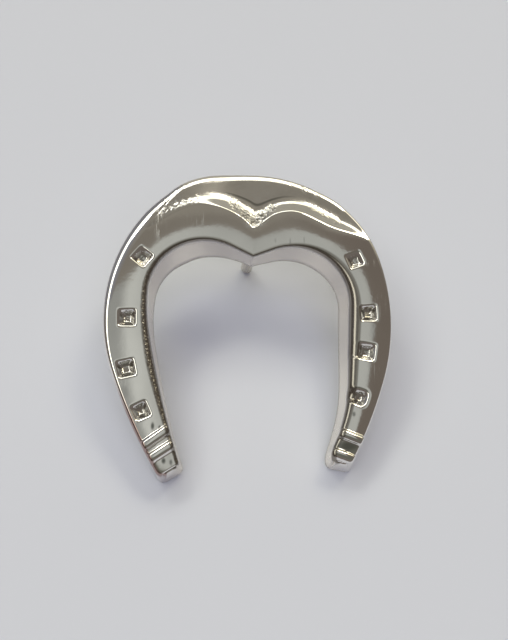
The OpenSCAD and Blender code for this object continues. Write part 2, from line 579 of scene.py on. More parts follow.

    # Pits, dark marks, painted shade, painted reflections and scratches
    pits: tuple[Pit, ...] = (
        Pit(0.1, 9.0, 0.60, 1.0), Pit(-0.7, 9.6, 0.50, 1.0), Pit(-1.6, 10.3, 0.5, 0.7),
        Pit(0.7, 9.5, 0.5, 1.0), Pit(1.5, 10.2, 0.5, 0.7), Pit(-7.9, 10.6, 0.45, 0.22),
        Pit(-7.0, 11.4, 0.45, 0.25), Pit(-6.0, 12.0, 0.4, 0.22), Pit(-8.0, 9.3, 0.4, 0.25),
        Pit(-7.6, 9.6, 0.4, 0.28), Pit(-7.1, 9.9, 0.4, 0.3), Pit(-6.6, 10.2, 0.4, 0.3),
        Pit(-6.1, 10.4, 0.4, 0.3), Pit(-5.5, 10.6, 0.4, 0.28), Pit(-4.9, 10.8, 0.4, 0.22),
        Pit(4.6, 12.3, 0.4, 0.25), Pit(5.6, 11.8, 0.35, 0.2), Pit(3.2, 12.9, 0.35, 0.15),
        Pit(5.4, 10.2, 0.4, 0.3), Pit(6.2, 9.7, 0.5, 0.35), Pit(7.2, 9.1, 0.4, 0.35),
    )
    stains_and_shade: tuple[Mark, ...] = (
        Mark(-8.01, -8.86, 0.14, 0.30, 0.95), Mark(-7.46, -8.93, 0.10, 0.14, 0.8),
        Mark(-7.07, -11.56, 0.16, 0.22, 0.95), Mark(-6.50, -11.66, 0.12, 0.20, 0.7),
        # On this line and the next, Mark(-10.35, -6.2) is a painted dark reflection on the left
        # branch and Mark(7.4, -10.27) a painted dark reflection between the right heel's bars
        Mark(8.09, -7.70, 0.14, 0.20, 0.7), Mark(-10.35, -6.2, 0.40, 0.5, 0.16),
        Mark(7.4, -10.27, 1.0, 0.36, 0.5), Mark(3.1, 7.0, 0.07, 0.30, 0.35),
        Mark(1.8, 7.1, 0.06, 0.25, 0.3), Mark(4.3, 7.2, 0.06, 0.3, 0.25),
        Mark(-4.9, 5.2, 0.10, 0.10, 0.9), Mark(5.3, 5.1, 0.10, 0.10, 0.9),
        Mark(6.0, 4.5, 0.10, 0.10, 0.8),
    )
    scratches: tuple[Mark, ...] = (
        Mark(-8.0, 8.3, 0.5, 1.3, 1.0), Mark(-4.9, 9.0, 0.9, 0.7, 0.55),
        Mark(-10.6, -5.2, 0.5, 0.6, 0.6), Mark(9.9, 5.4, 0.6, 0.5, 0.6),
        Mark(10.7, 1.6, 0.5, 1.2, 0.5), Mark(10.1, -4.6, 0.5, 1.0, 0.5),
    )
    front_level: float = -1.0
    stain_and_shade_level: float = -2.0
    dark_hole: float = 0.3
    crest_reach: float = 0.03
    shoulder_lead: Pair = (0.3, 0.8)
    # Painted shade along the crescent's concave crease: its width and darkness, and the reach over
    # which it fades away from the middle
    crease_shade_line: Pair = (0.05, 0.75)
    crease_shade_ends: Pair = (4.5, 1.5)
    hole_pits: float = 0.15
    shoulder_pits: float = 0.22
    shoulder_pits_from: Pair = (6.5, 4.5)
    # Where the painted reddish reflection starts along the lower left rim, and its share on the
    # outer wall
    red_reflection_from: Pair = (-4.0, -9.0)
    red_reflection_wall: float = 0.4

    # How finely the mesh is woven
    stations: int = 640
    fine_points: int = 4000
    nail_crowd: Pair = (0.9, 1.1)
    bar_crowd: Pair = (1.4, 0.6)
    wall_columns: int = 6
    rim_columns: int = 14
    floor_columns: int = 20
    slope_columns: int = 14
    face_columns: int = 36
    column_powers: Triple = (1.5, 1.4, 1.15)
    shoulder_columns: int = 5
    back_columns: int = 4
    weld: float = 1e-7
    frame: PlateFrame = field(default_factory=PlateFrame)

    def outlines(self) -> tuple[Curve, Curve]:
        """Lays out the front outlines, both from the left heel to the right one.

        Returns:
            The outlines of the rim and of the opening.
        """
        outer = Curve(track(self.outer_start, self.outer_heading, self.outer_arcs))
        first, last = (outer.nearest((end.u, end.v)) for end in self.heel_ends)
        outer = Curve(outer.at(np.linspace(first, last, self.outline_points[0])))
        left = track(self.cusp, self.left_heading, self.left_arcs)
        right = track(self.cusp, self.right_heading, self.right_arcs)
        inner = Curve(np.concatenate([left[::-1], right[1:]]))
        first, last = inner.nearest(self.keys[0].inner), inner.nearest(self.keys[-1].inner)
        return outer, Curve(inner.at(np.linspace(first, last, self.outline_points[1])))

    def sections(self, outer: Curve) -> np.ndarray:
        """Spaces the cross-sections, closer together at the nail holes and the bars.

        Args:
            outer: The rim's outline.

        Returns:
            Lengths along the outline at which the sections stand.
        """
        fine = np.linspace(0.0, outer.length, self.fine_points)
        weight = np.ones_like(fine)
        crowds = [((nail.u, nail.v), self.nail_crowd) for nail in self.nails]
        crowds += [(bar.start, self.bar_crowd) for bar in self.bars]
        for place, (gain, reach) in crowds:
            weight += gain * np.exp(-(((fine - outer.nearest(place)) / reach) ** 2))
        summed = np.concatenate([[0.0], np.cumsum((weight[1:] + weight[:-1]) / 2)])
        return np.interp(np.linspace(0.0, summed[-1], self.stations), summed, fine)

    def matched(self, run: np.ndarray, outer: Curve, values: Sequence[float]) -> np.ndarray:
        """Carries the values of the key stations smoothly along the band.

        Args:
            run: Lengths along the rim's outline.
            outer: The rim's outline.
            values: One value for each key station.

        Returns:
            The value at each length.
        """
        at = [outer.nearest(key.outer) for key in self.keys]
        fine = np.linspace(0.0, outer.length, self.key_points)
        line = np.interp(fine, at, values)
        width = self.key_blur
        before = 2 * line[0] - line[width:0:-1]
        after = 2 * line[-1] - line[-2:-width - 2:-1]
        padded = np.concatenate([before, line, after])
        kernel = np.hanning(2 * width + 1)
        smooth = np.convolve(padded, kernel / kernel.sum(), mode="valid")
        return np.interp(run, fine, smooth)

    def ramp(self, run: np.ndarray, outer: Curve, rows: Sequence[Triple]) -> np.ndarray:
        """Carries values smoothly from one point of the rim to the next.

        Args:
            run: Lengths along the rim's outline.
            outer: The rim's outline.
            rows: A point of the rim and its value, from left to right.

        Returns:
            The value at each length.
        """
        at = np.array([outer.nearest(row[:2]) for row in rows])
        values = [row[2] for row in rows]
        out = np.full_like(run, values[0])
        for low, high, first, last in zip(at, at[1:], values, values[1:]):
            out += (last - first) * smoothstep(low, high, run)
        return out

    def fall(self, run: np.ndarray, outer: Curve) -> np.ndarray:
        """Works out how far the face falls towards the two heel ends.

        Args:
            run: Lengths along the rim's outline.
            outer: The rim's outline.

        Returns:
            The fall at each length.
        """
        first, last = outer.nearest(self.bars[1].start), outer.nearest(self.bars[2].start)
        return (self.heel_fall[0] * soft_over(first - run, self.fall_soft)
                + self.heel_fall[1] * soft_over(run - last, self.fall_soft))

    def gain(self, line: np.ndarray, normal: np.ndarray) -> np.ndarray:
        """How far along each line a point lies that stands 1 off the outline."""
        return 1.0 / np.maximum(np.abs(np.sum(line * normal, axis=1)), self.least_cosine)

    def band(self) -> Band:
        """Works out the band's edges and the form of its section.

        Returns:
            The edges and the form, with one row for each section.
        """
        outer, inner = self.outlines()
        run = self.sections(outer)
        inner_run = self.matched(run, outer, [inner.nearest(key.inner) for key in self.keys])
        inner_run = np.clip(inner_run, 0.0, inner.length)
        cusp = inner.nearest(self.cusp)
        inner_run[np.argmin(np.abs(inner_run - cusp))] = cusp

        front, mouth = outer.at(run), inner.at(inner_run)
        line = unit_rows(front - mouth)
        front -= line * self.ramp(run, outer, self.pull)[:, None]
        for away, radii in ((run, self.corners[0]), (outer.length - run, self.corners[1])):
            for points, radius, way in ((front, radii[0], -1.0), (mouth, radii[1], 1.0)):
                short = np.clip(1.0 - away / radius, 0.0, self.corner_limit)
                points += way * line * (radius * (1.0 - np.sqrt(1.0 - short**2)))[:, None]

        rim = self.matched(run, outer, [key.rim for key in self.keys])
        rim_deep = self.rim_height[0] + self.rim_height[1] * rim
        spread = self.matched(run, outer, [key.spread for key in self.keys])
        bevel = self.matched(run, outer, [key.bevel for key in self.keys])
        bevel = np.maximum(bevel - self.bevel_soft, self.no_bevel)
        slope = self.bevel_slope * smoothstep(0.0, self.bevel_start, bevel)
        tan = math.tan(math.radians(self.draft))
        return Band(
            run=run,
            length=outer.length,
            front=front,
            mouth=mouth,
            line=line,
            out_gain=self.gain(line, outer.normal(run)),
            in_gain=self.gain(line, inner.normal(inner_run)),
            wall_run=self.matched(run, outer, [key.wall_run for key in self.keys]),
            shoulder=self.matched(run, outer, [key.shoulder for key in self.keys]),
            rim=rim,
            rim_deep=rim_deep,
            turn_from=np.arctan(rim_deep / rim * tan * spread),
            turn_to=np.arctan2(rim_deep / rim, slope),
            bevel=bevel,
            spread=spread,
            depth=self.step_depth * self.ramp(run, outer, self.step_fade),
            eased=self.ramp(run, outer, self.eased),
            fall=self.fall(run, outer),
        )

    def face(self, band: Band) -> Face:
        """Works out the face, with its crescent, nail holes and bars.

        Args:
            band: The band's edges and form.

        Returns:
            The face.
        """
        rim_in = band.rim * (np.cos(band.turn_from) - np.cos(band.turn_to))
        rim_top = band.front - band.line * (rim_in * band.out_gain)[:, None]
        mouth_top = band.mouth + band.line * (band.shoulder * band.in_gain)[:, None]
        width = np.linalg.norm(rim_top - mouth_top, axis=1)
        edge = Curve(rounded(self.step_edge)).crossing(rim_top, mouth_top)
        foot = Curve(rounded(self.crease)).crossing(rim_top, mouth_top)
        missed = (edge == MISSED) | (foot == MISSED)
        edge = np.where(missed, self.no_step[0], edge)
        foot = np.minimum(np.where(missed, self.no_step[1], foot), edge - self.least_slope)

        edge_at = np.clip(edge, *self.edge_range)[:, None]
        foot_at = np.clip(foot, *self.foot_range)[:, None]
        near, middle, far = (
            np.arange(count) / count
            for count in (self.floor_columns, self.slope_columns, self.face_columns))
        powers = self.column_powers
        share = np.concatenate([
            foot_at * near ** powers[0],
            foot_at + (edge_at - foot_at) * (1 - (1 - middle) ** powers[1]),
            edge_at + (1 - edge_at) * far ** powers[2],
            np.ones_like(edge_at),
        ], axis=1)
        uv = rim_top[:, None, :] + (mouth_top - rim_top)[:, None, :] * share[..., None]

        holes = np.zeros(share.shape)
        for nail in self.nails:
            holes += nail.deep(uv)
        rise = np.zeros(share.shape)
        for bar in self.bars:
            rise = np.maximum(rise, bar.high(uv))
        level = self.level(band, uv, share, edge, foot, width)
        height = level + rise - holes - band.fall[:, None]
        points = np.concatenate([uv, height[..., None]], axis=-1)
        return Face(share, edge, foot, width, holes, points)

    def level(self, band: Band, uv: np.ndarray, share: np.ndarray, edge: np.ndarray,
              foot: np.ndarray, width: np.ndarray) -> np.ndarray:
        """Works out the height of the face, before its nail holes and bars.

        Args:
            band: The band's edges and form.
            uv: Places of the face's points in the plate's plane.
            share: How far across the face each column stands, 0 at the rim and 1 at the opening.
            edge: Share at which the crest of the step stands, for each section.
            foot: Share at which the slope ends, for each section.
            width: Width of the face, for each section.

        Returns:
            The height at each point, where 0 is the face's highest level.
        """
        softness = self.crest_soft[0] + self.crest_soft[1] * band.eased
        reach = ((edge - foot) * width)[:, None]
        past = soft_over((edge[:, None] - share) * width[:, None], softness[:, None])
        part = np.linspace(0.0, 1.0, self.slope_points)
        lost, lost_from, lost_to = self.hollow
        fallen = np.cumsum(1.0 - lost * smoothstep(lost_from, lost_to, part))
        sharp = np.interp(past / reach, part, fallen / fallen[-1])
        soft = smoothstep(0.0, 1.0, past / reach)
        slope = -band.depth[:, None] * (sharp + (soft - sharp) * band.eased[:, None])

        low = np.maximum(edge, 0.0)[:, None]
        across = np.clip((share - low) / (1.0 - low), 0.0, 1.0)
        turn_u, start_u, turn_v = self.wave_turns
        waves = self.wave * np.sin(uv[..., 0] * turn_u + start_u) * np.cos(uv[..., 1] * turn_v)
        bevel = band.bevel[:, None] - share * width[:, None]
        bevel_fall = self.bevel_slope * soft_over(bevel, self.bevel_soft)
        return slope - self.dome * (2.0 * across - 1.0) ** 2 + waves - bevel_fall

    @staticmethod
    def beside(edge: np.ndarray, line: np.ndarray, gain: np.ndarray, off: np.ndarray,
               height: np.ndarray) -> np.ndarray:
        """Sets points beside one of the two outlines.

        Args:
            edge: Point of the outline, for each section.
            line: Unit direction from the opening to the rim, for each section.
            gain: How far along the line a point lies that stands 1 off, for each section.
            off: How far off the outline each point stands, positive towards the rim.
            height: Height of each point.

        Returns:
            The points.
        """
        uv = edge[:, None, :] + line[:, None, :] * (off * gain[:, None])[..., None]
        return np.concatenate([uv, height[..., None]], axis=-1)

    def outside(self, band: Band, top: np.ndarray) -> np.ndarray:
        """Works out the outer wall and the rounded rim above it, from the back up.

        Args:
            band: The band's edges and form.
            top: Height at which the rim meets the face.

        Returns:
            The points, up to the face.
        """
        tan = math.tan(math.radians(self.draft))
        low = -self.thickness
        up = np.arange(self.wall_columns) / self.wall_columns
        rim_foot = top - band.rim_deep * (np.sin(band.turn_to) - np.sin(band.turn_from))
        wall_height = low + self.back_round + (rim_foot - low - self.back_round)[:, None] * up
        wall_off = ((self.thickness - self.rim) * tan * band.spread)[:, None] * (1.0 - up)

        along = np.arange(self.rim_columns) / self.rim_columns
        turns = band.turn_from[:, None] + (band.turn_to - band.turn_from)[:, None] * along
        rim_off = band.rim[:, None] * np.cos(turns) - (band.rim * np.cos(band.turn_from))[:, None]
        rim_middle = (top - band.rim_deep * np.sin(band.turn_to))[:, None]
        rim_height = rim_middle + band.rim_deep[:, None] * np.sin(turns)
        return self.beside(band.front, band.line, band.out_gain,
                           np.concatenate([wall_off, rim_off], axis=1),
                           np.concatenate([wall_height, rim_height], axis=1))

    def inside(self, band: Band, top: np.ndarray) -> np.ndarray:
        """Works out the rounded shoulder and the inner wall, from the face down.

        Args:
            band: The band's edges and form.
            top: Height at which the shoulder leaves the face.

        Returns:
            The points, from below the face to the back.
        """
        bend = math.pi / 2 * np.arange(1, self.shoulder_columns + 1) / self.shoulder_columns
        deep = (band.shoulder * self.shoulder_height)[:, None]
        shoulder_off = band.shoulder[:, None] * (1 - np.sin(bend))
        shoulder_height = top[:, None] - deep * (1 - np.cos(bend))

        high = shoulder_height[:, -1:]
        down = np.arange(1, self.wall_columns + 1) / self.wall_columns
        wall_off = -band.wall_run[:, None] * (down ** self.wall_lean)
        wall_height = high + (-self.thickness + self.back_round - high) * down
        return self.beside(band.mouth, band.line, band.in_gain,
                           np.concatenate([shoulder_off, wall_off], axis=1),
                           np.concatenate([shoulder_height, wall_height], axis=1))

    def back(self, band: Band, inner: np.ndarray, outer: np.ndarray) -> np.ndarray:
        """Works out the flat back.

        Args:
            band: The band's edges and form.
            inner: Lowest point of the inner wall, for each section.
            outer: Lowest point of the outer wall, for each section.

        Returns:
            The points, from the inner wall to the outer one.
        """
        start = inner[:, :2] + band.line * (self.back_round * band.in_gain)[:, None]
        end = outer[:, :2] - band.line * (self.back_round * band.out_gain)[:, None]
        across = np.arange(self.back_columns + 1) / self.back_columns
        uv = start[:, None, :] + (end - start)[:, None, :] * across[:, None]
        height = np.full((*uv.shape[:2], 1), -self.thickness)
        return np.concatenate([uv, height], axis=-1)

    def build(self) -> bpy.types.Object:
        """Builds the casting.

        Returns:
            The casting as one closed mesh in world metres.
        """
        band = self.band()
        face = self.face(band)
        outside = self.outside(band, face.points[:, 0, 2])
        inside = self.inside(band, face.points[:, -1, 2])
        back = self.back(band, inside[:, -1], outside[:, 0])
        grid = np.concatenate([outside, face.points, inside, back, outside[:, :1]], axis=1)
        kinds = self.kinds(grid, outside.shape[1], face)
        grid = self.drafted_ends(grid, band)
        return self.woven(*self.rounded_ends(grid, kinds))

    def kinds(self, grid: np.ndarray, start: int, face: Face) -> Kinds:
        """Says what the surface is like and where shade and reflections are painted, for the finish
        to read.

        Args:
            grid: The points of the whole section, one row for each section.
            start: Column at which the face starts.
            face: The face.

        Returns:
            One strength for each point and kind.
        """
        made = {kind: np.zeros(grid.shape[:2]) for kind in Kind}
        shoulder = start + face.share.shape[1]
        wall = shoulder + self.shoulder_columns
        on_face = (slice(None), slice(start, shoulder))
        u, v = grid[..., 0], grid[..., 1]

        made[Kind.RECESS][on_face] = np.clip(face.holes / self.dark_hole, 0.0, 1.0)
        made[Kind.CRESCENT][on_face] = smoothstep(
            0.0, self.crest_reach, face.edge[:, None] - face.share)
        made[Kind.SHOULDER][:, shoulder:wall] = 1.0
        made[Kind.SHOULDER][:, shoulder - len(self.shoulder_lead):shoulder] = self.shoulder_lead
        made[Kind.WALL][:, wall:] = 1.0
        # Painted reddish reflection on the lower left rim and outer wall
        painted_red_reflection = smoothstep(*self.red_reflection_from, v) * (u < 0)
        made[Kind.PAINTED_RED_REFLECTION][:, :start] = painted_red_reflection[:, :start]
        made[Kind.PAINTED_RED_REFLECTION][:, :self.wall_columns] *= self.red_reflection_wall

        for kind, spots, level in ((Kind.PITTED, self.pits, self.front_level),
                                   (Kind.STAIN_AND_SHADE, self.stains_and_shade, self.stain_and_shade_level),
                                   (Kind.SCRATCHED, self.scratches, self.front_level)):
            above = grid[..., 2] > level
            for spot in spots:
                made[kind] = np.maximum(made[kind], spot.shade(grid) * above)

        grains = smoothstep(*self.shoulder_pits_from, v) * (u < 0) * made[Kind.SHOULDER]
        for also in (self.hole_pits * made[Kind.RECESS], self.shoulder_pits * grains):
            made[Kind.PITTED] = np.maximum(made[Kind.PITTED], also)
        # Paints shade along the crescent's crease into the stained marks' mask
        line_width, crease_shade_dark = self.crease_shade_line
        off = (face.foot[:, None] - face.share) * face.width[:, None] / line_width
        line = np.exp(-(off**2)) * smoothstep(*self.crease_shade_ends, abs(u[:, :1]))
        made[Kind.STAIN_AND_SHADE][on_face] = np.maximum(made[Kind.STAIN_AND_SHADE][on_face], crease_shade_dark * line)

        for values in made.values():
            values[:, -1] = values[:, 0]
        return made

    def drafted_ends(self, grid: np.ndarray, band: Band) -> np.ndarray:
        """Leans the two heel ends out towards the back.

        Args:
            grid: The points of the sections.
            band: The band's edges and form.

        Returns:
            The changed grid.
        """
        tan = math.tan(math.radians(self.draft))
        left = smoothstep(self.end_draft, 0.0, band.run)
        right = smoothstep(band.length - self.end_draft, band.length, band.run)
        for end, share in zip(self.heel_ends, (left, right)):
            lean = -grid[..., 2] * tan * share[:, None]
            grid = grid + lean[..., None] * end.way
        return grid

    def rounded_ends(self, grid: np.ndarray, kinds: Kinds) -> tuple[np.ndarray, Kinds]:
        """Adds a few rings that round each heel end over to its flat.

        Args:
            grid: The points of the sections.
            kinds: The strengths of the kinds at each point.

        Returns:
            The grid and the kinds with the rings added.
        """
        bends = math.pi / 2 * np.arange(1, self.end_rings + 1) / self.end_rings
        caps = []
        for place, end in zip((0, -1), self.heel_ends):
            high = np.clip((grid[place, :, 2:] + self.thickness) / self.thickness, 0.0, 1.0)
            size = self.foot_round + (end.rounding - self.foot_round) * high**2
            ring = grid[place] - size * end.way
            middle = ring.mean(axis=0)
            caps.append(np.array([
                middle + (ring - middle) * (1.0 - size * (1 - math.cos(bend)) / self.end_half)
                + size * math.sin(bend) * end.way
                for bend in bends]))
            grid[place] = ring
        grid = np.concatenate([caps[0][::-1], grid, caps[1]])
        count = self.end_rings
        kinds = {
            kind: np.concatenate([value[:1].repeat(count, 0), value, value[-1:].repeat(count, 0)])
            for kind, value in kinds.items()}
        return grid, kinds

    def woven(self, grid: np.ndarray, kinds: Kinds) -> bpy.types.Object:
        """Weaves the mesh, closed round its section and capped at its two ends.

        Args:
            grid: The points of the sections.
            kinds: The strengths of the kinds at each point.

        Returns:
            The object in the scene.
        """
        rows, columns = grid.shape[:2]
        world = self.frame.world(grid.reshape(-1, 3)).reshape(grid.shape)
        mesh = bmesh.new()
        bmesh.ops.create_grid(mesh, x_segments=rows - 1, y_segments=columns - 1, size=1.0)
        layers = {kind: mesh.verts.layers.float.new(kind.value) for kind in kinds}
        for vert in mesh.verts:
            i = round((vert.co.x + 1) / 2 * (rows - 1))
            j = round((vert.co.y + 1) / 2 * (columns - 1))
            vert.co = world[i, j]
            for kind, layer in layers.items():
                vert[layer] = kinds[kind][i, j]
        bmesh.ops.remove_doubles(mesh, verts=mesh.verts, dist=self.weld)
        bmesh.ops.holes_fill(mesh, edges=[e for e in mesh.edges if e.is_boundary], sides=0)
        bmesh.ops.recalc_face_normals(mesh, faces=mesh.faces)
        return finished(mesh, "horseshoe")


@dataclass
class Post:
    """The soldered post: a plain round pin with a rounded tip and a small fillet at its root."""

    radius: float = 0.55
    length: float = 8.0
    flare: float = 0.3
    root: Pair = (0.1, 8.2)
    back: float = -2.7
    sink: float = 0.5
    sides: int = 64
    tip_rings: int = 12
    shaft_rings: int = 12
    flare_rings: int = 5
    weld: float = 1e-5
    strengths: tuple[tuple[Kind, float], ...] = ((Kind.WALL, 1.0), (Kind.STAIN_AND_SHADE, 0.3))
    frame: PlateFrame = field(default_factory=PlateFrame)

    def profile(self) -> list[Pair]:
        """Works out the post's outline, from the tip to inside the casting.

        Returns:
            Radius and height of each point.
        """
        low = self.back - self.length
        rows = [(0.0, low)]
        for k in range(1, self.tip_rings + 1):
            bend = math.pi / 2 * k / self.tip_rings
            rows.append((self.radius * math.sin(bend), low + self.radius * (1 - math.cos(bend))))
        start, top = low + self.radius, self.back - self.flare
        rows += [(self.radius, start + (top - start) * k / self.shaft_rings)
                 for k in range(1, self.shaft_rings + 1)]
        rings = self.flare_rings
        rows += [(self.radius + self.flare * k / rings * k / rings, top + self.flare * k / rings)
                 for k in range(1, rings + 1)]
        rows += [(self.radius + self.flare, self.back + self.sink), (0.0, self.back + self.sink)]
        return rows

    def build(self) -> bpy.types.Object:
        """Builds the post.

        Returns:
            The post as one closed mesh in world metres.
        """
        mesh = bmesh.new()
        verts = [mesh.verts.new((self.root[0] + r, self.root[1], z)) for r, z in self.profile()]
        edges = [mesh.edges.new(pair) for pair in zip(verts, verts[1:])]
        bmesh.ops.spin(mesh, geom=verts + edges, cent=(*self.root, 0.0), axis=(0, 0, 1),
                       angle=math.tau, steps=self.sides, use_merge=True)
        bmesh.ops.remove_doubles(mesh, verts=mesh.verts, dist=self.weld)
        bmesh.ops.recalc_face_normals(mesh, faces=mesh.faces)
        bmesh.ops.transform(mesh, matrix=self.frame.matrix(), verts=mesh.verts)
        for kind, strength in self.strengths:
            layer = mesh.verts.layers.float.new(kind.value)
            for vert in mesh.verts:
                vert[layer] = strength
        return finished(mesh, "post")


def finished(mesh: bmesh.types.BMesh, name: str) -> bpy.types.Object:
    """Puts a bmesh into the scene, smooth-shaded, and frees it.

    Args:
        mesh: The bmesh.
        name: Name of the new object.

    Returns:
        The object.
    """
    data = bpy.data.meshes.new(name)
    mesh.to_mesh(data)
    mesh.free()
    data.shade_smooth()
    piece = bpy.data.objects.new(name, data)
    bpy.context.collection.objects.link(piece)
    return piece


@dataclass(frozen=True)
class Noise:
    """Scale, detail and roughness of a grey noise."""

    scale: float
    detail: float = 3.0
    rough: float = 0.5


class Nodes:
    """A node tree with short calls to add nodes, link them and do sums."""

    def __init__(self, tree: bpy.types.NodeTree) -> None:
        """Empties the tree.

        Args:
            tree: The node tree.
        """
        self.tree = tree
        tree.nodes.clear()

    def add(self, kind: str, **values: object) -> bpy.types.Node:
        """Adds a node.

        Args:
            kind: Type of the node.
            values: Values of the node's own properties, and values or links for its sockets,
                with an underscore for each blank of a socket's name.

        Returns:
            The node.
        """
        node = self.tree.nodes.new(kind)
        sockets = {k: v for k, v in values.items() if not hasattr(node, k)}
        for name, value in values.items():
            if name not in sockets:
                setattr(node, name, value)
        for name, value in sockets.items():
            self.put(node.inputs[name.replace("_", " ")], value)
        return node

    def put(self, socket: Socket, value: object) -> None:
        """Sets a socket to a value, or links another socket to it.

        Args:
            socket: The socket.
            value: A plain value, or an output to link.
        """
        if isinstance(value, Socket):
            self.tree.links.new(value, socket)
        else:
            socket.default_value = value

    def sum(self, operation: str, *values: object, clamp: bool = False) -> Socket:
        """Does one step of arithmetic.

        Args:
            operation: Name of the step.
            values: The numbers or outputs it works on.
            clamp: Whether the result is kept between 0 and 1.

        Returns:
            The output with the result.
        """
        node = self.tree.nodes.new("ShaderNodeMath")
        node.operation, node.use_clamp = operation, clamp
        for socket, value in zip(node.inputs, values):
            self.put(socket, value)
        return node.outputs[0]

    def plus(self, first: object, second: object) -> Socket:
        """Sum of two values."""
        return self.sum("ADD", first, second)

    def times(self, first: object, second: object) -> Socket:
        """Product of two values."""
        return self.sum("MULTIPLY", first, second)

    def most(self, first: object, second: object) -> Socket:
        """The larger of two values."""
        return self.sum("MAXIMUM", first, second)

    def between(self, value: object, low: float, high: float) -> Socket:
        """Makes a value rise smoothly from 0 to 1.

        Args:
            value: The value.
            low: Where the rise starts.
            high: Where it ends; it may lie below low.

        Returns:
            The output with the risen value.
        """
        node = self.tree.nodes.new("ShaderNodeMapRange")
        node.interpolation_type = "SMOOTHSTEP"
        for socket, given in zip(node.inputs, (value, low, high, 0.0, 1.0)):
            self.put(socket, given)
        return node.outputs[0]

    def mix(self, share: object, first: object, second: object) -> Socket:
        """Mixes two colours.

        Args:
            share: How much of the second colour is in the mix.
            first: The first colour.
            second: The second colour.

        Returns:
            The output with the mixed colour.
        """
        node = self.tree.nodes.new("ShaderNodeMix")
        node.data_type = "RGBA"
        sockets = (node.inputs[0], node.inputs[6], node.inputs[7])
        for socket, value in zip(sockets, (share, first, second)):
            self.put(socket, value)
        return node.outputs[2]

    def ramp(self, value: object, rows: Sequence[Pair]) -> Socket:
        """Looks a level up, with straight runs between the rows.

        Args:
            value: The value to look up.
            rows: Value and level of each stop.

        Returns:
            The output with the level.
        """
        low, high = rows[0][0], rows[-1][0]
        share = self.sum("DIVIDE", self.sum("SUBTRACT", value, low), high - low)
        node = self.add("ShaderNodeValToRGB", Fac=share)
        stops = node.color_ramp.elements
        while len(stops) < len(rows):
            stops.new(0.5)
        for stop, (place, level) in zip(stops, rows):
            stop.position = (place - low) / (high - low)
        for stop, (place, level) in zip(stops, rows):
            stop.color = (level, level, level, 1.0)
        return node.outputs["Color"]

    def noise(self, where: object, noise: Noise) -> Socket:
        """Adds a grey noise.

        Args:
            where: Coordinates it is read at.
            noise: What it is like.

        Returns:
            The output with its level.
        """
        node = self.add("ShaderNodeTexNoise", Vector=where, Scale=noise.scale,
                        Detail=noise.detail, Roughness=noise.rough)
        return node.outputs["Fac"]


def rgba(colour: Sequence[float], level: float = 1.0) -> tuple[float, float, float, float]:
    """A linear colour at some level, with full alpha."""
    return (*(c * level for c in colour), 1.0)


